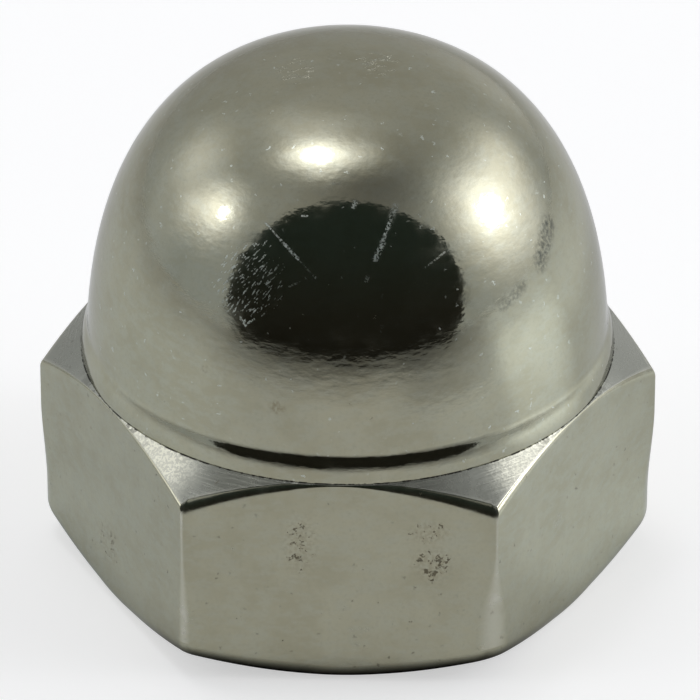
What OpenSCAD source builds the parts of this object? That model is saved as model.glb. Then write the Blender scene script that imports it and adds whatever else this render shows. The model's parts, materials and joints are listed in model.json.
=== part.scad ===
// Domed cap nut: one piece of plated metal, with a blind threaded hole.
// It stands on its bearing face: the origin is the centre of that face, and +Z runs up the
// thread's axis to the crown. Two of the six flats face -Y and +Y, and two corners lie on X.
// All sizes are in millimetres.

/* [Hexagon] */
// Width across the flats
flats_w = 17; // [15:0.1:24]
// Height from the bearing face to the foot of the collar
hex_h = 7.3; // [5:0.1:9]
// Slope of the upper corner chamfers, in degrees below the horizontal
top_chamfer = 36; // [20:1:45]
// Slope of the lower corner chamfers, in degrees above the horizontal
bottom_chamfer = 29; // [15:1:40]
// How far the flat bearing face stops short of the flats
bearing_land = 0.35; // [0.1:0.05:1]

/* [Upright corners] */
// Rounding of the upright corners above the forming line
upper_corner_r = 0.15; // [0.1:0.05:1.5]
// Rounding of the upright corners below the forming line
lower_corner_r = 1.15; // [0.1:0.05:1.5]
// Height of the forming line above the bearing face
forming_h = 3.4; // [1:0.1:4]

/* [Collar] */
// How far the collar's wall stands inside the flats
collar_land = 0.05; // [0.02:0.01:0.5]
// Height of the collar's upright wall
collar_h = 0.4; // [0.2:0.05:1.5]
// Height of the slope from the collar up to the dome's wall
slope_h = 0.5; // [0.1:0.05:1]
// How far that slope steps in
slope_step = 0.2; // [0.05:0.01:0.6]

/* [Dome] */
// Height of the whole nut
total_h = 17.2; // [16:0.1:24]
// How full the dome is: 2 is an ellipse, and more gives squarer shoulders
dome_fullness = 2.6; // [2:0.1:3.5]
// How far below the collar's foot the dome's curve springs from
spring_drop = 1.5; // [0.2:0.1:3]

/* [Threaded hole] */
// Outer diameter of the thread
thread_d = 10; // [6:0.5:11]
// Pitch of the thread
thread_pitch = 1.5; // [0.75:0.25:1.75]
// How much wider than the thread the countersink's mouth is
mouth_extra = 0.8; // [0.2:0.1:1.5]
// Full angle of the countersink
mouth_angle = 90; // [60:1:120]
// Full angle of the drill's point at the bottom of the hole
point_angle = 118; // [90:1:140]
// Metal left between the drill's point and the top of the dome
crown_t = 1.65; // [1:0.05:4]

/* [Hidden] */
$fn = 128;

// Steps along the dome's outline, and round each upright corner
DOME_STEPS = 48;
CORNER_STEPS = 6;
// What a cut runs past the face that it opens
OVERCUT = 1;

flats_r = flats_w / 2;
corner_r = flats_r / cos(30);
bearing_r = flats_r - bearing_land;
collar_r = flats_r - collar_land;
wall_r = collar_r - slope_step;
slope_z = hex_h + collar_h;
wall_z = slope_z + slope_h;

spring_z = hex_h - spring_drop;
dome_h = total_h - spring_z;
wall_share = (wall_z - spring_z) / dome_h;
spring_r = wall_r / pow(1 - pow(wall_share, dome_fullness), 1 / dome_fullness);
wall_turn = asin(pow(wall_share, dome_fullness / 2));

bore_r = (thread_d - thread_pitch) / 2;
mouth_r = (thread_d + mouth_extra) / 2;
mouth_h = (mouth_r - bore_r) / tan(mouth_angle / 2);
point_h = bore_r / tan(point_angle / 2);
bore_h = total_h - crown_t - point_h;

// A point of the dome's outline, from 0 degrees at the spring line to 90 at the crown
function dome_point(turn) = [
    spring_r * pow(cos(turn), 2 / dome_fullness),
    spring_z + dome_h * pow(sin(turn), 2 / dome_fullness)
];

// Outline of a hexagon whose corners are rounded to radius r
function rounded_hexagon(r) = [
    for (corner = [0:60:300], step = [0:CORNER_STEPS])
        let (turn = corner - 30 + 60 * step / CORNER_STEPS)
            (flats_r - r) / cos(30) * [cos(corner), sin(corner)] + r * [cos(turn), sin(turn)]
];

// Hexagonal bar, with rounder corners below the forming line than above it
module hexagonal_bar() {
    linear_extrude(forming_h)
        polygon(rounded_hexagon(lower_corner_r));
    translate([0, 0, forming_h])
        linear_extrude(total_h - forming_h)
            polygon(rounded_hexagon(upper_corner_r));
}

// Turned outline of the nut: bearing face, corner chamfers, collar, slope and dome
module turned_outline() {
    turn_step = (90 - wall_turn) / DOME_STEPS;
    rotate_extrude()
        polygon([
            [0, 0],
            [bearing_r, 0],
            [corner_r, (corner_r - bearing_r) * tan(bottom_chamfer)],
            [corner_r, hex_h - (corner_r - collar_r) * tan(top_chamfer)],
            [collar_r, hex_h],
            [collar_r, slope_z],
            for (i = [0:DOME_STEPS - 1]) dome_point(wall_turn + i * turn_step),
            [0, total_h]
        ]);
}

// Tapping hole with its countersunk mouth and the drill's point
module threaded_hole() {
    cylinder(h = bore_h, r = bore_r);
    translate([0, 0, bore_h])
        cylinder(h = point_h, r1 = bore_r, r2 = 0);
    cylinder(h = mouth_h, r1 = mouth_r, r2 = bore_r);
    translate([0, 0, -OVERCUT])
        cylinder(h = OVERCUT, r = mouth_r);
}

module cap_nut() {
    color([0.58, 0.57, 0.51])
        difference() {
            intersection() {
                hexagonal_bar();
                turned_outline();
            }
            threaded_hole();
        }
}

cap_nut();
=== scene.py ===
# Domed cap nut of plated metal, standing on its bearing face on a pale floor.
# The nut is one closed skin: the outside is wrapped on a grid, the thread is a screw, and the two
# are bridged across the bearing face. Lengths are in metres, and MM turns millimetres into them.
import json
import math
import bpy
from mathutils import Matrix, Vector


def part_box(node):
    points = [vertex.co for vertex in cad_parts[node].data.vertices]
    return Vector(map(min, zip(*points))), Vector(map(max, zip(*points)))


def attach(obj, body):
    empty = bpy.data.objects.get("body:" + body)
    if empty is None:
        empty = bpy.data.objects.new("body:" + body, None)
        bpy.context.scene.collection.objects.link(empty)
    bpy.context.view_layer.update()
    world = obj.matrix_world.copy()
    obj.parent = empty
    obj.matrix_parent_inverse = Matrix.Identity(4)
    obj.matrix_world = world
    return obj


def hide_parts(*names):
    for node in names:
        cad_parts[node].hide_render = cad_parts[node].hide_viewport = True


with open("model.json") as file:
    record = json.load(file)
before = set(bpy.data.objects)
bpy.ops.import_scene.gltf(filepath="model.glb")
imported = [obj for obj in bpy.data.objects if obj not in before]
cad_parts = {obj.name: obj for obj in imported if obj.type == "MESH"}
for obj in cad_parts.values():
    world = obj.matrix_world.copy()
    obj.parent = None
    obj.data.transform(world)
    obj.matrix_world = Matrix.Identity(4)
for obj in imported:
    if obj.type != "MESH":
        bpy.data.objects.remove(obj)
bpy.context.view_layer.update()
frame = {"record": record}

from types import SimpleNamespace

import bmesh
import bpy
from mathutils import Matrix, Vector

MM = 0.001

# ---------------------------------------------------------------- sizes of the nut

_, nut_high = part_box("cap_nut")
hole = next(m for m in frame["record"]["mounts"] if m["name"] == "threaded_hole")

FLATS_R = nut_high.y
TOTAL_H = nut_high.z
BORE_R = hole["dims"]["r_mm"] * MM
MOUTH_H = hole["pos_m"][2] - hole["dims"]["length_mm"] * MM / 2
BORE_H = hole["pos_m"][2] + hole["dims"]["length_mm"] * MM / 2
MOUTH_R = BORE_R + MOUTH_H

HEX_H = 7.3 * MM
TOP_CHAMFER = math.radians(36)
BOTTOM_CHAMFER = math.radians(29)
BEARING_R = FLATS_R - 0.35 * MM
# Where the outside starts on the bearing face, halfway from the hole's mouth to the lower chamfer
BEARING_INNER_R = (MOUTH_R + BEARING_R) / 2

# Angles round the axis: what a face takes, and from its middle to a corner
FACE_TURN = math.radians(60)
HALF_FACE = math.radians(30)

UPPER_CORNER_R = 0.15 * MM
LOWER_CORNER_R = 1.15 * MM
FORMING_H = 3.4 * MM
FORMING_BLEND = 3.0 * MM
# Lower rounding of each corner as a share of that, round from +X: the forging was not quite even
CORNER_SHARES = (1.1, 1, 1, 0.95, 0.4, 1)

COLLAR_R = FLATS_R - 0.05 * MM
SLOPE_Z = HEX_H + 0.4 * MM
WALL_Z = SLOPE_Z + 0.5 * MM
WALL_R = COLLAR_R - 0.2 * MM

DOME_FULLNESS = 2.6
SPRING_Z = HEX_H - 1.5 * MM
DOME_H = TOTAL_H - SPRING_Z
WALL_SHARE = (WALL_Z - SPRING_Z) / DOME_H
SPRING_R = WALL_R / (1 - WALL_SHARE ** DOME_FULLNESS) ** (1 / DOME_FULLNESS)

# Rounding of the edges. A top edge is rounder where its chamfer is wider
TOP_EDGE_R = 0.3 * MM
TOP_EDGE_GROWTH = 0.27
# Share of that rounding on each face's top edge, round from the face at 30 degrees
FACE_SHARES = (0.6, 0.6, 0.6, 0.35, 1, 0.55)
BOTTOM_EDGE_R = 0.7 * MM
BEARING_EDGE_R = 0.2 * MM
BROW_EDGE_R = 1.85 * MM
WALL_EDGE_R = 0.8 * MM
# The most of a chamfer's width that the roundings at its ends may take
EDGE_SHARE = 0.7
HEEL_SHARE = 0.85
BEARING_SHARE = 0.9 * (1 - HEEL_SHARE)

# Fine groove at the foot of the collar
GROOVE_LIP = 0.007 * MM
GROOVE_LIP_SHARE = 0.5
GROOVE_DEPTH = 0.005 * MM
GROOVE_CUT = 0.003 * MM
GROOVE_RISE = 0.006 * MM
GROOVE_FRINGE = 0.032 * MM
FRINGE_SHARE = 0.1

# Metric thread: its pitch, its outer radius, its flanks, and where it fades out. Then the drill
PITCH = 1.5 * MM
THREAD_R = 5.0 * MM
FLANK = math.radians(30)
ROOT_FLAT = PITCH / 8
THREAD_END = BORE_H - 1.2 * MM
DRILL_HALF_ANGLE = math.radians(59)
POINT_H = BORE_R / math.tan(DRILL_HALF_ANGLE)

# Cells of the mesh: round the hexagon, then along the outline from the bearing face up
FLAT_CELLS = 30
CORNER_CELLS = 10
BEARING_CELLS = 4
BEARING_ARC_CELLS = 4
LOWER_CHAMFER_CELLS = 5
HEEL_ARC_CELLS = 8
SIDE_CELLS = 26
EDGE_ARC_CELLS = 12
UPPER_CHAMFER_CELLS = 8
COLLAR_CELLS = 5
BROW_ARC_CELLS = 10
SLOPE_CELLS = 3
WALL_ARC_CELLS = 8
DOME_ROWS = 72
THREAD_STEPS = 120
THREAD_ROWS = 20
# Rows of the foot that lie on the bearing face and the lower chamfer, below the heel's rounding
FOOT_TURNED_ROWS = BEARING_CELLS + BEARING_ARC_CELLS + LOWER_CHAMFER_CELLS
# Distance of the extra rows and columns that hold a face flat up to its edge
HOLDING = 0.02 * MM
WELD = 1e-8
SMOOTH_ANGLE = math.radians(30)

# Masks: the groove's painted shade and grime fade out over this width of the chamfer, from this
# strength at the groove
SHADE_AND_GRIME_WIDTH = 0.45 * MM
SHADE_AND_GRIME_START = 0.5
# Painted sheen on the collar's first row above the groove
COLLAR_SHEEN = 0.35


# ---------------------------------------------------------------- outline of the outside

def polar(angle):
    """Unit vector in the floor's plane, at an angle from +X."""
    return Vector((math.cos(angle), math.sin(angle)))


def smooth_step(low, high, value):
    share = min(max((value - low) / (high - low), 0), 1)
    return share * share * (3 - 2 * share)


def mix(a, b, share):
    return a + (b - a) * share


def corner_radii(z):
    """Rounding of the six upright corners at a height: rounder towards the foot."""
    share = smooth_step(FORMING_H - FORMING_BLEND / 2, FORMING_H + FORMING_BLEND / 2, z)
    return [mix(LOWER_CORNER_R * s, UPPER_CORNER_R, share) for s in CORNER_SHARES]


def hexagon_columns():
    """Stations round the hexagon: ("flat", face, 0 to 1) or ("corner", corner, -1 to 1), from +X."""
    edge = HOLDING / FLATS_R
    across = [0, *(mix(edge, 1 - edge, i / FLAT_CELLS) for i in range(FLAT_CELLS + 1)), 1]
    around = [2 * i / CORNER_CELLS - 1 for i in range(1, CORNER_CELLS)]
    columns = []
    for face in range(6):
        columns += [("flat", face, share) for share in across]
        columns += [("corner", (face + 1) % 6, share) for share in around]
    return columns + columns[:1]


def on_hexagon(column, radii):
    """Where a column crosses a level of the hexagon whose corners have those radii."""
    kind, index, share = column
    if kind == "flat":
        out = polar(HALF_FACE + FACE_TURN * index)
        ends = (radii[index], radii[(index + 1) % 6])
        start, end = ((FLATS_R - r) * math.tan(HALF_FACE) for r in ends)
        return out * FLATS_R + Vector((-out.y, out.x)) * mix(-start, end, share)
    turn = FACE_TURN * index
    centre = polar(turn) * (FLATS_R - radii[index]) / math.cos(HALF_FACE)
    return centre + polar(turn + HALF_FACE * share) * radii[index]


def fillet(before, corner, after, radius, cells):
    """Points of an arc that rounds a corner of an outline."""
    into = (before - corner).normalized()
    out = (after - corner).normalized()
    half = math.acos(max(-1, min(1, into.dot(out)))) / 2
    middle = corner + (into + out).normalized() * radius / math.sin(half)
    start = corner + into * radius / math.tan(half) - middle
    turn = math.pi - 2 * half
    side = 1 if start.cross(out) > 0 else -1
    return [middle + Matrix.Rotation(side * turn * i / cells, 2) @ start for i in range(cells + 1)]


def straight(start, end, cells):
    """Points between two ends of a straight stretch, without the ends."""
    return [start.lerp(end, i / cells) for i in range(1, cells)]


def dome_rows():
    """The dome's wall and crown, as points (radius, height) up to the pole."""
    start = math.asin(WALL_SHARE ** (DOME_FULLNESS / 2))
    rows = []
    for i in range(DOME_ROWS + 1):
        turn = mix(start, math.pi / 2, i / DOME_ROWS)
        rows.append(Vector((SPRING_R * max(math.cos(turn), 0) ** (2 / DOME_FULLNESS),
                            SPRING_Z + DOME_H * math.sin(turn) ** (2 / DOME_FULLNESS))))
    rows[-1].x = 0
    return rows


def foot_outline(reach):
    """From the bearing face to the upright side, at a place where the side stands at that reach."""
    inner = Vector((BEARING_INNER_R, 0))
    bearing = Vector((BEARING_R, 0))
    heel = Vector((reach, (reach - BEARING_R) * math.tan(BOTTOM_CHAMFER)))
    up = heel + Vector((0, HEX_H))
    width = (heel - bearing).length
    heel_r = min(BOTTOM_EDGE_R, HEEL_SHARE * width / math.tan((math.pi / 2 - BOTTOM_CHAMFER) / 2))
    bearing_r = min(BEARING_EDGE_R, BEARING_SHARE * width / math.tan(BOTTOM_CHAMFER / 2))
    rounded = fillet(inner, bearing, heel, bearing_r, BEARING_ARC_CELLS)
    heel_arc = fillet(bearing, heel, up, heel_r, HEEL_ARC_CELLS)
    return ([inner, *straight(inner, rounded[0], BEARING_CELLS), *rounded]
            + [*straight(rounded[-1], heel_arc[0], LOWER_CHAMFER_CELLS), *heel_arc])


def face_share(column):
    """How rounded the top edge is at a column, as each face has its own share."""
    kind, index, share = column
    if kind == "flat":
        return FACE_SHARES[index]
    return mix(FACE_SHARES[index - 1], FACE_SHARES[index], (1 + share) / 2)


def shoulder_outline(reach, rounded):
    """Rounded top edge, chamfer and groove's root, where the upright side stands at that reach."""
    lip = min(GROOVE_LIP, GROOVE_LIP_SHARE * (reach - COLLAR_R))
    foot = Vector((COLLAR_R + lip, HEX_H - lip * math.tan(TOP_CHAMFER)))
    edge = Vector((reach, HEX_H - (reach - COLLAR_R) * math.tan(TOP_CHAMFER)))
    below = edge - Vector((0, HEX_H))
    width = (edge - foot).length
    edge_r = min(rounded * (TOP_EDGE_R + TOP_EDGE_GROWTH * width),
                 EDGE_SHARE * width / math.tan((math.pi / 2 - TOP_CHAMFER) / 2))
    edge_arc = fillet(below, edge, foot, edge_r, EDGE_ARC_CELLS)
    fringe = foot + (edge - foot).normalized() * min(GROOVE_FRINGE, width * FRINGE_SHARE)
    root = Vector((COLLAR_R - GROOVE_CUT, HEX_H - GROOVE_DEPTH))
    return edge_arc, straight(edge_arc[-1], fringe, UPPER_CHAMFER_CELLS) + [fringe, foot], root


def collar_outline():
    """From the groove's root over the collar, its slope and the dome's wall up to the pole."""
    dome = dome_rows()
    foot = Vector((COLLAR_R, HEX_H + GROOVE_RISE))
    brow = Vector((COLLAR_R, SLOPE_Z))
    brow_arc = fillet(foot, brow, dome[0], BROW_EDGE_R, BROW_ARC_CELLS)
    wall_arc = fillet(brow, dome[0], dome[1], WALL_EDGE_R, WALL_ARC_CELLS)
    fringe = foot + Vector((0, GROOVE_FRINGE))
    start = [foot, fringe, *straight(fringe, brow_arc[0], COLLAR_CELLS), *brow_arc]
    return start + [*straight(brow_arc[-1], wall_arc[0], SLOPE_CELLS), *wall_arc] + dome[2:]


def side_heights(low, high):
    """Heights of the rows on an upright side, a little inside its two ends."""
    return [mix(low + HOLDING, high - HOLDING, i / SIDE_CELLS) for i in range(SIDE_CELLS + 1)]


# ---------------------------------------------------------------- the nut's skin

def deselect_all():
    if bpy.context.object and bpy.context.object.mode != "OBJECT":
        bpy.ops.object.mode_set(mode="OBJECT")
    bpy.ops.object.select_all(action="DESELECT")


def edge_sheen_share(column):
    """How much a column lies on the rounding of an upright corner, where a bright sheen is painted."""
    kind, _, share = column
    return 1 - share * share if kind == "corner" else 0


def column_points(column, collar_rows):
    """All rows of one column as (x, y, z, turned, seam, sheen), with three masks: the turned finish,
    the groove's painted shade and grime, and a painted sheen.
    """
    low = on_hexagon(column, corner_radii(0))
    high = on_hexagon(column, corner_radii(HEX_H))
    low_way, high_way = low.normalized(), high.normalized()
    on_corner = edge_sheen_share(column)
    rows = []

    def add(way, point, turned=0, seam=0, rubbed=0):
        rows.append((*(way * point.x), point.y, turned, seam, rubbed))

    foot = foot_outline(low.length)
    for i, point in enumerate(foot):
        add(low_way, point, turned=1 if i < FOOT_TURNED_ROWS else 0)
    edge_arc, chamfer, root = shoulder_outline(high.length, face_share(column))
    # The rounding of each upright corner gets a painted sheen, up the side and over its top edge
    for z in side_heights(foot[-1].y, edge_arc[0].y):
        rows.append((*on_hexagon(column, corner_radii(z)), z, 0, 0, on_corner))
    for point in edge_arc[:-1]:
        add(high_way, point, rubbed=on_corner)
    # A painted bright line where the top edge's rounding meets the chamfer
    add(high_way, edge_arc[-1], turned=1, rubbed=1)
    # Painted shade and grime of the groove, reaching onto the chamfer where it is narrow
    shading_and_grime = SHADE_AND_GRIME_START * max(0, 1 - (high.length - COLLAR_R) / SHADE_AND_GRIME_WIDTH)
    for point in chamfer[:-1]:
        add(high_way, point, turned=1, seam=shading_and_grime)
    add(high_way, chamfer[-1], turned=1, seam=1)
    add(high_way, root, seam=1)
    add(high_way, collar_rows[0], seam=1)
    # Painted sheen on the collar just above the groove
    add(high_way, collar_rows[1], rubbed=COLLAR_SHEEN)
    for point in collar_rows[2:]:
        add(high_way, point)
    return rows


def add_mask(thing, name, values):
    mask = thing.data.attributes.new(name, "FLOAT", "POINT")
    mask.data.foreach_set("value", values)


def weld(thing):
    """Selects the whole mesh and merges its doubles. The object is left in edit mode."""
    bpy.ops.object.mode_set(mode="EDIT")
    bpy.ops.mesh.select_all(action="SELECT")
    bpy.ops.mesh.remove_doubles(threshold=WELD)


def outer_skin():
    """Outside of the nut: a grid wrapped round the axis, from the bearing face to the crown."""
    collar_rows = collar_outline()
    columns = [column_points(c, collar_rows) for c in hexagon_columns()]
    across, along = len(columns), len(columns[0])
    bpy.ops.mesh.primitive_grid_add(x_subdivisions=across - 1, y_subdivisions=along - 1, size=TOTAL_H)
    skin = bpy.context.object
    skin.name = "cap_nut_skin"
    points = [columns[i % across][i // across] for i in range(across * along)]
    for vertex, point in zip(skin.data.vertices, points):
        vertex.co = point[:3]
    for i, name in enumerate(("turned", "seam", "rubbed")):
        add_mask(skin, name, [point[3 + i] for point in points])
    weld(skin)
    bpy.ops.object.mode_set(mode="OBJECT")
    return skin


def thread_radius(share):
    """Radius of the full thread at a share of its pitch."""
    flank = (THREAD_R - BORE_R) * math.tan(FLANK)
    away = abs(share - 0.5) * PITCH - ROOT_FLAT / 2
    return THREAD_R - (THREAD_R - BORE_R) * min(max(away / flank, 0), 1)


def thread_profile():
    """Radii and heights over one pitch, with points at each corner and even steps between."""
    flank = (THREAD_R - BORE_R) * math.tan(FLANK) / PITCH
    half_root = ROOT_FLAT / PITCH / 2
    low, high = 0.5 - half_root, 0.5 + half_root
    corners = [0, low - flank, low, high, high + flank, 1]
    shares = []
    for a, b in zip(corners, corners[1:]):
        cells = max(2, round((b - a) * THREAD_ROWS))
        shares += [mix(a, b, i / cells) for i in range(cells)]
    return [(thread_radius(s), s * PITCH) for s in [*shares, 1]]


def place_in_hole(point):
    """Presses a point of the endless thread into the hole: countersink, fading thread, plain end."""
    way = Vector(point[:2]).normalized()
    reach, z = Vector(point[:2]).length, point[2]
    if z <= 0:
        return Vector((*(way * MOUTH_R), 0))
    if z >= BORE_H:
        return Vector((*(way * BORE_R), BORE_H))
    fade = 1 - smooth_step(THREAD_END - PITCH, THREAD_END, z)
    reach = BORE_R + (reach - BORE_R) * fade
    return Vector((*(way * max(reach, MOUTH_R - z)), z))


def threaded_skin():
    """Inside of the nut: one pitch of thread screwed up the hole, then the drill's point."""
    mesh = bpy.data.meshes.new("thread")
    points = [(r, 0, z - PITCH) for r, z in thread_profile()]
    mesh.from_pydata(points, [(i, i + 1) for i in range(len(points) - 1)], [])
    thread = bpy.data.objects.new("thread", mesh)
    bpy.context.collection.objects.link(thread)
    deselect_all()
    bpy.context.view_layer.objects.active = thread
    thread.select_set(True)
    bpy.ops.object.modifier_add(type="SCREW")
    screw = thread.modifiers[-1]
    screw.screw_offset = PITCH
    screw.iterations = math.ceil(BORE_H / PITCH) + 1
    screw.steps = screw.render_steps = THREAD_STEPS
    bpy.ops.object.modifier_apply(modifier=screw.name)
    for vertex in thread.data.vertices:
        vertex.co = place_in_hole(vertex.co)
    weld(thread)
    select_ring(thread, BORE_H)
    bpy.ops.mesh.extrude_region_move(TRANSFORM_OT_translate={"value": (0, 0, POINT_H)})
    bpy.ops.mesh.merge(type="CENTER")
    bpy.ops.object.mode_set(mode="OBJECT")
    add_mask(thread, "bore", [1.0] * len(thread.data.vertices))
    return thread


def select_ring(thing, height):
    """Selects only the open edges that lie at a height. The object is in edit mode."""
    bpy.ops.mesh.select_mode(type="EDGE")
    bpy.ops.mesh.select_all(action="DESELECT")
    mesh = bmesh.from_edit_mesh(thing.data)
    for edge in mesh.edges:
        if edge.is_boundary and all(abs(v.co.z - height) < WELD for v in edge.verts):
            edge.select_set(True)
    bmesh.update_edit_mesh(thing.data)


def make_nut():
    skin = outer_skin()
    thread = threaded_skin()
    deselect_all()
    thread.select_set(True)
    skin.select_set(True)
    bpy.context.view_layer.objects.active = skin
    bpy.ops.object.join()
    bpy.ops.object.mode_set(mode="EDIT")
    select_ring(skin, 0)
    bpy.ops.mesh.bridge_edge_loops()
    bpy.ops.mesh.select_all(action="SELECT")
    bpy.ops.mesh.normals_make_consistent(inside=False)
    bpy.ops.object.mode_set(mode="OBJECT")
    bpy.ops.object.shade_smooth_by_angle(angle=SMOOTH_ANGLE)
    return skin


# ---------------------------------------------------------------- shader maths

class Node:
    """A socket of a node tree. An expression on it adds the Math nodes that work it out."""

    def __init__(self, tree, socket):
        self.tree = tree
        self.socket = socket

    def make(self, kind, inputs, output=0, **settings):
        """Adds a node: settings first, then the values or links of its inputs."""
        node = self.tree.nodes.new(kind)
        for name, value in settings.items():
            setattr(node, name, value)
        for key, value in inputs.items():
            if isinstance(value, Node):
                self.tree.links.new(value.socket, node.inputs[key])
            elif value is not None:
                node.inputs[key].default_value = value
        return Node(self.tree, node.outputs[output])

    def beside(self, output):
        """Another output of the same node."""
        return Node(self.tree, self.socket.node.outputs[output])

    def math(self, operation, a, b=None):
        return self.make("ShaderNodeMath", {0: a, 1: b}, operation=operation)

    def __add__(self, other):
        return self.math("ADD", self, other)

    def __radd__(self, other):
        return self.math("ADD", other, self)

    def __sub__(self, other):
        return self.math("SUBTRACT", self, other)

    def __rsub__(self, other):
        return self.math("SUBTRACT", other, self)

    def __mul__(self, other):
        return self.math("MULTIPLY", self, other)

    def __rmul__(self, other):
        return self.math("MULTIPLY", other, self)

    def __truediv__(self, other):
        return self.math("DIVIDE", self, other)

    def __pow__(self, other):
        return self.math("POWER", self, other)

    def __abs__(self):
        return self.math("ABSOLUTE", self)

    def at_most(self, other):
        return self.math("MINIMUM", self, other)

    def at_least(self, other):
        return self.math("MAXIMUM", self, other)

    def ramp(self, low, high):
        """0 below low, 1 above high, smooth between. low may be the larger one."""
        return self.make("ShaderNodeMapRange", {"Value": self, "From Min": low, "From Max": high},
                         interpolation_type="SMOOTHSTEP")

    def vector(self, operation, other=None, output=0, **extra):
        inputs = {0: self, 1: other, **extra}
        return self.make("ShaderNodeVectorMath", inputs, output, operation=operation)

    def length(self):
        return self.vector("LENGTH", output="Value")

    def along(self, way):
        """Distance along a direction."""
        return self.vector("DOT_PRODUCT", tuple(way), "Value")

    def mask(self, name):
        return self.make("ShaderNodeAttribute", {}, "Fac", attribute_name=name)

    def joined(self, **parts):
        """Vector of values given as X, Y and Z."""
        return self.make("ShaderNodeCombineXYZ", parts)

    def cells(self, scale):
        """Distance to the nearest of scattered points, and a random number for that point."""
        distance = self.make("ShaderNodeTexVoronoi", {"Vector": self, "Scale": scale}, "Distance")
        colour = distance.beside("Color")
        return distance, colour.make("ShaderNodeSeparateColor", {0: colour}, "Red")

    def noise(self, scale, detail, roughness=0.5):
        inputs = {"Vector": self, "Scale": scale, "Detail": detail, "Roughness": roughness}
        return self.make("ShaderNodeTexNoise", inputs, "Fac")

    def blend(self, a, b):
        """Colour between a and b by this factor, which is held between 0 and 1."""
        return self.make("ShaderNodeMix", {"Factor": self, 6: a, 7: b}, 2,
                         data_type="RGBA", clamp_factor=True)


def coordinates(tree, kind):
    return Node(tree, tree.nodes.new("ShaderNodeTexCoord").outputs[kind])


def rays(tree, *kinds):
    """1 for rays of each of those kinds, such as Camera."""
    path = tree.nodes.new("ShaderNodeLightPath")
    return [Node(tree, path.outputs[f"Is {kind} Ray"]) for kind in kinds]


def new_material(name, constants):
    """A material and its shader, with the values that are the same all over set on the sockets."""
    material = bpy.data.materials.new(name)
    material.use_nodes = True
    shader = material.node_tree.nodes["Principled BSDF"]
    for socket, value in constants.items():
        shader.inputs[socket].default_value = value
    return material, material.node_tree, shader


# ---------------------------------------------------------------- the nut's finish

NICKEL = (0.446, 0.436, 0.327, 1)
NICKEL_WARM = (0.40, 0.386, 0.28, 1)
NICKEL_COOL = (0.44, 0.444, 0.352, 1)
NICKEL_DIM = (0.375, 0.37, 0.28, 1)
NICKEL_BROWN = (0.35, 0.325, 0.23, 1)
TURNED_METAL = (0.395, 0.402, 0.35, 1)
# Painted sheen of the rounded corners and edges
EDGE_SHEEN_COLOUR = (0.70, 0.69, 0.60, 1)
# Painted glint of the lamps on the front chamfers' outer ends
CHAMFER_GLINT = (1.0, 0.99, 0.83, 1)
# Painted shade on the inner ends of the front chamfers
CHAMFER_SHADE = (0.22, 0.225, 0.19, 1)
# Pale metal of the scratches, with painted glints on them and on the dome's flecks and dots
SCRATCHES_AND_GLINTS = (0.72, 0.78, 0.72, 1)
# Scuffs on the crown, painted lighter where they catch the light
SCUFFS_AND_HIGHLIGHT = (0.60, 0.59, 0.47, 1)
STAIN = (0.20, 0.155, 0.085, 1)
# Darker tone of the dark strokes on the dome
DARK_STROKE_TONE = (0.11, 0.115, 0.095, 1)
PITTED = (0.11, 0.09, 0.055, 1)
# Painted shade, with some grime, in the groove at the collar's foot
GROOVE_SHADE_AND_GRIME = (0.035, 0.033, 0.027, 1)
EDGE_TINT = (0.8, 0.8, 0.8, 1)

# Roughness of the clean polish, and what each mask adds to it
POLISH = 0.075
ROUGHENED = {
    "clouded": 0.03,
    "hazy": 0.07,
    "side": 0.1,
    "bore": 0.25,
    "turned": 0.07,
    "rubbed": 0.06,
    "scratched": 0.5,
    "smudged": 0.2,
    "dirty": 0.3,
    "flecks": 0.35,
    "dents": 0.35,
    "dots": 0.25,
    "scuffs": 0.25,
}
# What it also adds where a glint is painted on the turned metal
GLINT_ROUGHNESS = 0.2

# Relief in mm: waves of the polish, grain of the upright faces, turning marks and scuffs
WAVE_HEIGHT = 0.006
SMALL_WAVE_HEIGHT = 0.004
GRAIN_HEIGHT = 0.0015
TURNING_HEIGHT = 0.012
SCUFF_HEIGHT = 0.025
# Turning marks in a mm, and how fast they change as they go round
TURNING_RINGS = 13
TURNING_DRIFT = 5
# Within this much of the hexagon's top, in mm, its finish goes over into the dome's
SIDE_FADE = 0.1
# How far the outlines of pits and grime are bent, in mm
BEND = 0.3

# Share of a stroke's half width, a patch's reach and a pit's size up to which each is full
STROKE_CORE = 0.2
PATCH_CORE = 0.35
PIT_CORE = 0.45
# Levels of the noise where a streak begins and where it is full
STREAK_BEGINS = 0.69
STREAK_FULL = 0.76


def on_dome(azimuth, height):
    """Point on the dome in mm, at an azimuth in degrees from -Y towards +X and a height in mm."""
    share = (height * MM - SPRING_Z) / DOME_H
    reach = SPRING_R * (1 - share ** DOME_FULLNESS) ** (1 / DOME_FULLNESS) / MM
    turn = math.radians(azimuth)
    return Vector((reach * math.sin(turn), -reach * math.cos(turn), height))


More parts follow.
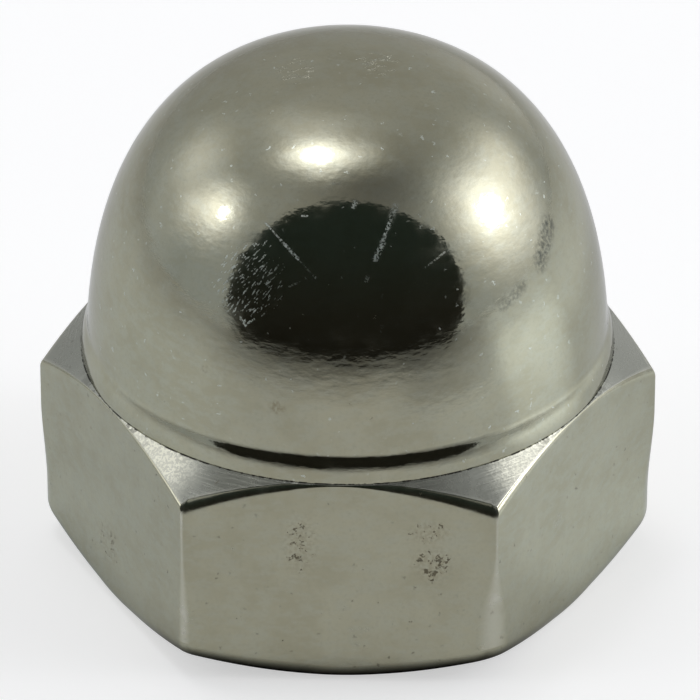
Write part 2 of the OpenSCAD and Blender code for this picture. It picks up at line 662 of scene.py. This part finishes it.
# Scratches on the dome: azimuth and height of both ends, half width, and how strong
SCRATCHES = [
    ((-23, 14.95), (-17, 14.6), 0.045, 0.8),
    ((-17, 14.6), (-11.5, 14.2), 0.085, 1.0),
    ((-11.5, 14.2), (-6.5, 13.75), 0.045, 0.5),
    ((17, 15.45), (13.8, 15.0), 0.17, 0.5),
    ((14.3, 15.1), (11.2, 14.6), 0.1, 0.9),
    ((11.6, 14.65), (9.2, 14.25), 0.16, 0.9),
    ((28.5, 14.15), (22, 13.85), 0.06, 0.4),
    ((-24.2, 12.3), (-22.8, 12.1), 0.06, 1.0),
    ((-22.8, 12.1), (-20.8, 12.35), 0.05, 0.8),
    ((4.2, 15.6), (3.6, 15.52), 0.12, 0.9),
    ((6.9, 13.8), (6.5, 13.7), 0.1, 0.7),
    ((-12.4, 15.25), (-10.6, 15.26), 0.05, 0.8),
    ((-13, 13.45), (-10.5, 13.6), 0.06, 0.5),
]
# Dark strokes on the dome, in the same way
DARK_STROKES_ON_DOME = [
    ((-3.6, 15.98), (-1.2, 15.98), 0.07, 1.0),
    ((64.5, 13.5), (56.5, 12.8), 0.5, 1.3),
    ((48, 12.45), (41.5, 12.2), 0.33, 0.8),
]

# Zones in mm of wear, painted glint and painted shade: centre, how far they reach along x, y and z, and
# how strong.
# Outer ends of the two front chamfers, where a bright glint of the lamps is painted
GLINT_ZONES = [
    ((-6.2, -6.4, 6.9), (2.65, 2.45, 1.6), 1),
    ((6.1, -6.4, 6.9), (2.25, 2.15, 1.6), 1),
]
# Their inner ends, where shade is painted
SHADED_CHAMFER_ENDS = [
    ((-2.6, -8.0, 7.1), (2.3, 1.3, 1.2), 0.95),
    ((2.2, -8.1, 7.1), (1.5, 1.0, 1.0), 0.3),
]
# Flecks and dots on the dome's left, painted pale as glints
WORN = [(on_dome(-24, 13.4), (2.2, 2.0, 2.5), 1)]
# Scuffs on the crown
CROWNED = [
    ((-1.6, 0.0, 17.1), (1.1, 1.4, 1.0), 1),
    ((0.9, 0.5, 17.1), (1.2, 1.4, 1.0), 1),
]
# Dark pits, most of them on the front face
PITS = [
    (on_dome(-39, 14.5), (1.1, 1.1, 1.3), 0.3),
    ((-1.2, -8.5, 5.0), (0.7, 0.5, 1.6), 0.8),
    ((2.8, -8.5, 5.6), (0.9, 0.5, 0.6), 0.9),
    ((2.9, -8.5, 4.4), (0.9, 0.5, 0.9), 1),
    ((-7.4, -4.1, 2.1), (1.0, 1.0, 1.1), 0.6),
]
# Brown stains low on the dome
STAINS = [
    (on_dome(-13.8, 9.7), (0.35, 0.35, 0.3), 1),
    (on_dome(-31.6, 10.4), (0.15, 0.15, 0.2), 1),
]


def stroke(at, start, end, wide):
    """1 on a straight mark between two points, falling to 0 at its half width."""
    way = end - start
    from_start = at.vector("SUBTRACT", tuple(start))
    share = (from_start.along(way) / way.length_squared).at_least(0).at_most(1)
    nearest = share.make("ShaderNodeVectorMath", {0: tuple(way), "Scale": share}, operation="SCALE")
    return from_start.vector("SUBTRACT", nearest).length().ramp(wide, wide * STROKE_CORE)


def patch(at, centre, size):
    """1 round a place, falling to 0 at a distance of size along x, y and z."""
    away = at.vector("SUBTRACT", tuple(centre)).vector("DIVIDE", size)
    return away.length().ramp(1, PATCH_CORE)


def zones(at, rows):
    """Sum of the patches in a list of zones."""
    total = 0
    for centre, size, strength in rows:
        total = patch(at, centre, size) * strength + total
    return total


def pits(at, scale, size, kept, fading):
    """Scattered pits: kept is the share that is there, and fading is how unevenly deep they are."""
    distance, number = at.cells(scale)
    return distance.ramp(size, size * PIT_CORE) * (kept - number).ramp(0, fading)


def streaks(at, azimuth, slant, spacing, length, kept):
    """Short broken strokes on the wall at an azimuth, slanting from level, in degrees and mm."""
    turn, rise = math.radians(azimuth), math.radians(slant)
    level = Vector((math.cos(turn), math.sin(turn), 0))
    along = level * math.cos(rise) + Vector((0, 0, math.sin(rise)))
    across = level * -math.sin(rise) + Vector((0, 0, math.cos(rise)))
    flat = at.joined(X=at.along(along) / length, Y=at.along(across) / spacing)
    return (flat.noise(1.0, 1.5) + kept).ramp(STREAK_BEGINS, STREAK_FULL)


def scratches(at, fine):
    """The single scratches, the stronger one where two meet, broken up by a fine noise."""
    scratched = fine * 0
    for start, end, wide, strength in SCRATCHES:
        mark = stroke(at, on_dome(*start), on_dome(*end), wide) * strength
        scratched = mark.at_least(scratched)
    return scratched * (fine.ramp(0.4, 0.6) * 0.85 + 0.15)


def dark_strokes(at, grain):
    """The single dark strokes, broken up by a coarser noise."""
    smudged = 0
    for start, end, wide, strength in DARK_STROKES_ON_DOME:
        smudged = stroke(at, on_dome(*start), on_dome(*end), wide) * strength + smudged
    return smudged * grain.ramp(0.25, 0.72)


def turning_marks(at):
    """Fine rings round the axis, as the lathe leaves them, which change slowly as they go round."""
    level = at.vector("MULTIPLY", (1, 1, 0))
    round_way = level.vector("NORMALIZE").vector("SCALE", Scale=TURNING_DRIFT)
    rings = at.joined(X=round_way.along((1, 0, 0)), Y=round_way.along((0, 1, 0)),
                      Z=level.length() * TURNING_RINGS)
    return rings.noise(1.0, 3, 0.6)


def add_clouds(mask, at):
    """Cloudiness of the plate, from fine to broad."""
    mask.fine = at.noise(16, 2, 0.6)
    mask.grain = at.noise(8, 2)
    mask.clouded = at.vector("MULTIPLY", (1, 1, 2)).noise(1.6, 3, 0.68).ramp(0.4, 0.66)
    mask.hazy = at.noise(1.1, 2, 0.6).ramp(0.48, 0.72)
    mask.mottled = at.noise(0.5, 3, 0.6).ramp(0.34, 0.66)


def add_zones(mask, at):
    """Which part of the nut a place belongs to, how it is worn there, and where glint and shade are
    painted on it.
    """
    for name in ("turned", "seam", "rubbed", "bore"):
        setattr(mask, name, at.mask(name))
    mask.side = at.along((0, 0, 1)).ramp(HEX_H / MM + SIDE_FADE, HEX_H / MM - SIDE_FADE)
    mask.handled = zones(at, GLINT_ZONES)
    mask.dulled = zones(at, SHADED_CHAMFER_ENDS)
    mask.pitted = zones(at, PITS)
    mask.worn = zones(at, WORN)
    mask.crowned = zones(at, CROWNED)


def add_marks(mask, at):
    """Single marks, and the groove's painted shade and grime. The scattered dots are dark on the
    upright faces and painted pale on the dome, as glints.
    """
    bend = mask.grain.beside("Color").vector("SUBTRACT", (0.5, 0.5, 0.5))
    bent = bend.vector("SCALE", Scale=BEND).vector("ADD", at)
    crown = at.joined(X=bent.along((1, 0, 0)), Z=bent.along((0, 1, 0)))
    mask.scratched = scratches(at, mask.fine)
    mask.smudged = dark_strokes(at, mask.grain)
    mask.stained = zones(at, STAINS) * mask.grain.ramp(0.3, 0.7)
    mask.flecks = streaks(at, azimuth=-28, slant=58, spacing=0.065, length=0.22,
                          kept=mask.worn * 0.42 - 0.28) * mask.fine.ramp(0.38, 0.52)
    mask.scuffs = streaks(crown, azimuth=0, slant=5, spacing=0.12, length=0.5,
                          kept=mask.crowned * 0.33 - 0.2)
    dots = pits(bent, scale=2.6, size=0.16, kept=mask.worn * 0.2 + 0.75, fading=0.8)
    mask.specks = dots * mask.side
    # Painted glints: the dots are pale on the dome
    mask.dots = dots * (1 - mask.side * 0.85)
    mask.dents = (bent.noise(5.0, 2, 0.65) + mask.pitted * 0.2 + mask.side * 0.02).ramp(0.76, 0.81)
    # Painted shade, with some grime, in the groove's crease, broken up by a noise
    mask.dirty = (mask.seam * 1.5).at_most(1) * bent.noise(3.8, 1, 0.7).ramp(0.44, 0.56)


def plate_colour(mask):
    """Cloudy nickel, then the worn places with painted glint, shade and sheen over it, then single
    marks with painted glints, and the groove's painted shade and grime, over those.
    """
    # Painted glint on the outer ends of the front chamfers, uneven with the grain
    glint_share = ((mask.grain + mask.fine) * 0.5).ramp(0.46, 0.58) * 0.6 + 0.66
    layers = [
        (mask.mottled, NICKEL_WARM),
        (mask.clouded * 0.6, NICKEL_COOL),
        (mask.grain.ramp(0.45, 0.8) * 0.5, NICKEL_DIM),
        (mask.pitted * mask.grain.ramp(0.4, 0.6) * 0.6, NICKEL_BROWN),
        (mask.turned, TURNED_METAL),
        # Painted shade on the front chamfers' inner ends
        (mask.turned * mask.dulled, CHAMFER_SHADE),
        # Painted glint on the front chamfers
        (mask.turned * mask.handled * glint_share, CHAMFER_GLINT),
        # Painted sheen on the rounded corners, the top edges' ends and the collar's lip
        (mask.rubbed * mask.rubbed * (mask.hazy * 0.3 + 0.42), EDGE_SHEEN_COLOUR),
        # Pale scratches, and painted glints on them and on the dome's flecks and dots
        (mask.scratched * 1.2 + mask.flecks * 0.75 + mask.dots * 0.65, SCRATCHES_AND_GLINTS),
        # Scuffs on the crown with a painted highlight
        (mask.scuffs * 0.5, SCUFFS_AND_HIGHLIGHT),
        (mask.stained * 0.5, STAIN),
        # Dark strokes on the dome
        (mask.smudged * 0.75, DARK_STROKE_TONE),
        (mask.dents * 0.7 + mask.specks * 0.6, PITTED),
        # Painted shade and grime of the groove
        (mask.dirty * 0.92, GROOVE_SHADE_AND_GRIME),
    ]
    colour = NICKEL
    for share, layer in layers:
        colour = share.blend(colour, layer)
    return colour


def plate_roughness(mask):
    """Nearly a mirror on the dome, duller on the turned and upright faces, and dullest in marks."""
    rough = POLISH + mask.turned * mask.handled * GLINT_ROUGHNESS
    for name, added in ROUGHENED.items():
        rough = rough + getattr(mask, name) * added
    return rough


def plate_relief(at, mask):
    """Height in mm of the polish's waves, the faces' grain, the turning marks and the scuffs."""
    lying = at.vector("MULTIPLY", (1, 1, 2))
    waves = lying.noise(1.0, 1) * WAVE_HEIGHT + lying.noise(3.0, 2) * SMALL_WAVE_HEIGHT
    faces = mask.side * mask.grain * GRAIN_HEIGHT + mask.turned * turning_marks(at) * TURNING_HEIGHT
    return waves + faces + mask.scuffs * SCUFF_HEIGHT


def plated_metal():
    """Nickel plate: a polished dome, turned chamfers with painted glint and shade, painted sheen on the
    corners, scratches, pits and stains.
    """
    constants = {"Metallic": 1, "Specular Tint": EDGE_TINT}
    material, tree, shader = new_material("plated_metal", constants)
    at = coordinates(tree, "Object").vector("SCALE", Scale=1 / MM)
    mask = SimpleNamespace()
    add_clouds(mask, at)
    add_zones(mask, at)
    add_marks(mask, at)
    relief = plate_relief(at, mask)
    bump = relief.make("ShaderNodeBump", {"Height": relief, "Distance": MM}, "Normal")
    tree.links.new(plate_colour(mask).socket, shader.inputs["Base Color"])
    tree.links.new(plate_roughness(mask).socket, shader.inputs["Roughness"])
    tree.links.new(bump.socket, shader.inputs["Normal"])
    return material


# ---------------------------------------------------------------- camera and floor

CAMERA_AZIMUTH = math.radians(1.72)
CAMERA_ELEVATION = 31.8
CAMERA_DISTANCE = 0.255
CAMERA_LENS = 413.7
CAMERA_SENSOR = 36
CAMERA_CLIP = 0.01
# The camera circles the first point and looks at the second
CAMERA_PIVOT = Vector((0, 0, 7.84 * MM))
CAMERA_AIM = Vector((0.08 * MM, 0, 6.92 * MM))

WHITE = (1, 1, 1, 1)
COOL_LIGHT = (0.93, 1, 1.08, 1)
LAMP_LIGHT = (1, 1, 1.06, 1)

FLOOR_SIZE = 4.0
FLOOR_WHITE = (0.62, 0.62, 0.615, 1)
FLOOR_SHADED = (0.04, 0.04, 0.04, 1)
# Light that the floor adds for the camera, and for the nut's reflections
FLOOR_SHOWN = 0.54
FLOOR_GLOW = 0.34
# Distance at which the lamps' pool on the floor has fallen to half
FLOOR_POOL = 0.08


def direction(azimuth, elevation):
    """Unit vector towards an azimuth, from the camera's and turning to +X, and an elevation."""
    turn, rise = math.radians(azimuth) + CAMERA_AZIMUTH, math.radians(elevation)
    level = math.cos(rise)
    return Vector((math.sin(turn) * level, -math.cos(turn) * level, math.sin(rise)))


def sector(place, azimuth, outer, inner):
    """1 on the floor within an angle of an azimuth, falling to 0 at a wider one, in degrees."""
    towards = place.along(direction(azimuth, 0)) / place.length()
    return towards.ramp(math.cos(math.radians(outer)), math.cos(math.radians(inner)))


def contact_shade(place, ahead):
    """1 on the floor under the nut, fading just outside its hexagon, and weak except in front."""
    under = ahead * 0
    for face in range(3):
        across = place.along((*polar(HALF_FACE + FACE_TURN * face), 0))
        under = abs(across).at_least(under)
    return under.ramp(FLATS_R + 1.5 * MM, FLATS_R - 0.3 * MM) * (ahead.ramp(0.6, 0.95) * 0.68 + 0.32)


def floor_light(place, reach):
    """Light of the floor as the nut reflects it, and the share of the floor that lies open to it."""
    ahead = place.along(direction(0, 0)) / reach
    aside = place.along(direction(90, 0)) / reach
    # The opening of the tent shades the floor in front, less so close to the nut
    shade = sector(place, 0, 68, 20) * (0.66 - 0.5 * reach.ramp(120 * MM, 15 * MM))
    right_shade = sector(place, 42, 26, 8) * reach.ramp(30 * MM, 45 * MM) * 0.34
    open_floor = (1 - shade) * (1 - right_shade) * (1 - contact_shade(place, ahead))
    # The lamps' pool, and a gleam of the right lamp that is strongest at middle distances
    pool = ((reach / FLOOR_POOL) ** 2 + 1) ** -1
    gleam = sector(place, 81, 22, 3) * (reach.ramp(16 * MM, 28 * MM) * 0.7 + 0.4)
    gleam = gleam * (reach.ramp(110 * MM, 40 * MM) * 0.65 + 0.35)
    beyond = reach.ramp(24 * MM, 45 * MM) * (aside * 0.3 + 0.38)
    close = reach.ramp(15 * MM, 9 * MM) * 0.1
    behind = ahead.ramp(-0.3, -0.9) * 0.24
    return (pool + gleam + beyond + close) * open_floor * (1 - behind), open_floor


def pale_floor():
    """Plain white with the nut's shadow for the camera, and unevenly lit as the nut reflects it."""
    constants = {"Roughness": 0.9, "Specular IOR Level": 0.2}
    material, tree, shader = new_material("pale_floor", constants)
    place = coordinates(tree, "Object")
    camera, glossy, through = rays(tree, "Camera", "Glossy", "Transmission")
    reach = place.length()
    reflected, open_floor = floor_light(place, reach)
    colour = (glossy * (1 - open_floor)).blend(FLOOR_WHITE, FLOOR_SHADED)
    strength = camera * FLOOR_SHOWN + (glossy + through) * reflected * FLOOR_GLOW
    cooled = (place.along(direction(90, 0)) / reach) ** 2 * (1 - camera)
    tree.links.new(colour.socket, shader.inputs["Base Color"])
    tree.links.new(strength.socket, shader.inputs["Emission Strength"])
    tree.links.new(cooled.blend(WHITE, COOL_LIGHT).socket, shader.inputs["Emission Color"])
    return material


def make_camera():
    data = bpy.data.cameras.new("camera")
    data.lens = CAMERA_LENS
    data.sensor_width = CAMERA_SENSOR
    data.clip_start = CAMERA_CLIP
    camera = bpy.data.objects.new("camera", data)
    bpy.context.collection.objects.link(camera)
    camera.location = CAMERA_PIVOT + direction(0, CAMERA_ELEVATION) * CAMERA_DISTANCE
    camera.rotation_mode = "QUATERNION"
    camera.rotation_quaternion = (CAMERA_AIM - camera.location).to_track_quat("-Z", "Y")
    bpy.context.scene.camera = camera


def make_floor():
    bpy.ops.mesh.primitive_plane_add(size=FLOOR_SIZE)
    floor = bpy.context.object
    floor.name = "floor"
    floor.data.materials.append(pale_floor())


# ---------------------------------------------------------------- lamps and tent

# Lamps behind the tent: azimuth, elevation, angular radius of the core in degrees, its radiance
LAMPS = [
    ("overhead_lamp", -129, 77.6, 4.4, 6.0),
    ("left_lamp", -79, 34.3, 2.5, 5.0),
    ("right_lamp", 88.8, 27.8, 6.5, 6.0),
]
LAMP_DISTANCE = 0.6
LAMP_SPREAD = math.radians(50)
# Radiance of the plain tent, and glows on it: azimuth, elevation, spread in degrees, radiance
TENT = 0.47
GLOWS = [
    (-129, 77.6, 8.7, 2.45),
    (-70, 80.5, 4.8, 0.45),
    (-154, 71, 5.5, 0.45),
    (-115, 71, 8.5, 0.5),
    (174, 82, 9.5, 0.7),
    (-84, 32.3, 10.4, 1.9),
    (-97, 22, 8.0, 0.55),
    (-118, 30, 14.0, 0.55),
    (-160, 62, 12.0, 0.4),
    (89.5, 27.8, 17.2, 2.5),
    (105, 10, 16.0, 0.43),
    (-108, 6, 15.0, 0.1),
    (120, 28, 13.0, 0.9),
    (155, 4, 16.0, 0.28),
]
# Dimmer part of the tent over the opening: azimuth, elevation, spread in degrees, share taken away
DIM = (40, 72, 28.0, 0.6)

# The opening, as shares of its distance: its half width, its heights above and below its middle,
# and how far that is lowered. It is wider at the lower left, round above and squarer below
OPENING_DISTANCE = 0.2
OPENING_ELEVATION = 31
OPENING_WIDE = 1.42
OPENING_WIDE_LOWER_LEFT = 1.53
OPENING_UP = 0.97
OPENING_DOWN = 0.5
OPENING_LOWERED = 0.22
OPENING_ROUND = 1.5
OPENING_SQUARE = 2.8
OPENING_SIDES = 96
OPENING_DARK_LOW = (0.058, 0.055, 0.045, 1)
OPENING_DARK_HIGH = (0.055, 0.075, 0.066, 1)


def make_lamps():
    """Round lamps with a grid in front, whose light gathers in a pool round the nut."""
    half = LAMP_SPREAD / 2
    gathered = math.tan(half) / (math.tan(half) - half)
    for name, azimuth, elevation, radius, radiance in LAMPS:
        data = bpy.data.lights.new(name, "AREA")
        data.shape = "DISK"
        data.size = 2 * LAMP_DISTANCE * math.tan(math.radians(radius))
        data.spread = LAMP_SPREAD
        area = math.pi * (data.size / 2) ** 2
        data.energy = radiance * area * math.pi / gathered
        data.color = LAMP_LIGHT[:3]
        lamp = bpy.data.objects.new(name, data)
        bpy.context.collection.objects.link(lamp)
        way = direction(azimuth, elevation)
        lamp.location = way * LAMP_DISTANCE
        lamp.rotation_mode = "QUATERNION"
        lamp.rotation_quaternion = way.to_track_quat("Z", "Y")
        lamp.visible_camera = False


def spot(way, azimuth, elevation, spread, height):
    """Soft round spot on the tent, in the ways that lie about a spread from its middle."""
    towards = way.along(direction(azimuth, elevation))
    return way.math("EXPONENT", (towards - 1) * (2 / math.radians(spread) ** 2)) * height


def make_tent():
    """World of a plain tent, white to the camera, with soft glows where the lamps shine through it."""
    world = bpy.data.worlds.new("tent")
    bpy.context.scene.world = world
    world.use_nodes = True
    tree = world.node_tree
    way = coordinates(tree, "Generated")
    camera, = rays(tree, "Camera")
    light = TENT - TENT * spot(way, *DIM)
    for glow in GLOWS:
        light = light + spot(way, *glow)
    light = light * (1 - camera) + camera
    plain = light ** -1 * TENT
    cooled = way.along(direction(90, 0)) ** 2 * (1 - camera) * plain
    colour = cooled.blend(WHITE, COOL_LIGHT)
    colour = ((1 - plain) * (1 - camera)).blend(colour, LAMP_LIGHT)
    background = tree.nodes["Background"]
    tree.links.new(light.socket, background.inputs["Strength"])
    tree.links.new(colour.socket, background.inputs["Color"])


def on_opening(turn):
    """Point of the opening's outline, across and up from its middle."""
    x, y = math.cos(turn), math.sin(turn)
    power = OPENING_ROUND if y > 0 else OPENING_SQUARE
    reach = (abs(x) ** power + abs(y) ** power) ** (-1 / power)
    wide = OPENING_WIDE_LOWER_LEFT if x < 0 and y < 0 else OPENING_WIDE
    return x * reach * wide, y * reach * (OPENING_UP if y > 0 else OPENING_DOWN)


def dark_opening():
    """Painted shade of the tent's opening: a dull dark sheet, a little greener towards the top."""
    material, tree, shader = new_material("dark_opening", {"Roughness": 1, "Specular IOR Level": 0})
    rise = coordinates(tree, "Object").along((0, 0, 1))
    colour = rise.ramp(20 * MM, 170 * MM).blend(OPENING_DARK_LOW, OPENING_DARK_HIGH)
    tree.links.new(colour.socket, shader.inputs["Base Color"])
    return material


def make_opening():
    """Dark opening of the tent round the camera, which only reflections and light see."""
    bpy.ops.mesh.primitive_circle_add(vertices=OPENING_SIDES, radius=1, fill_type="NGON")
    opening = bpy.context.object
    opening.name = "tent_opening"
    out = direction(0, OPENING_ELEVATION)
    across = Vector((0, 0, 1)).cross(out).normalized()
    up = out.cross(across)
    for vertex in opening.data.vertices:
        x, y = on_opening(math.atan2(vertex.co.y, vertex.co.x))
        vertex.co = (out + across * x + up * (y - OPENING_LOWERED)) * OPENING_DISTANCE
    opening.visible_camera = False
    opening.data.materials.append(dark_opening())


# ---------------------------------------------------------------- scene

bpy.context.scene.view_settings.view_transform = "Standard"
deselect_all()
nut = make_nut()
nut.data.materials.append(plated_metal())
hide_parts("cap_nut")
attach(nut, "root")
make_floor()
make_tent()
make_lamps()
make_opening()
make_camera()
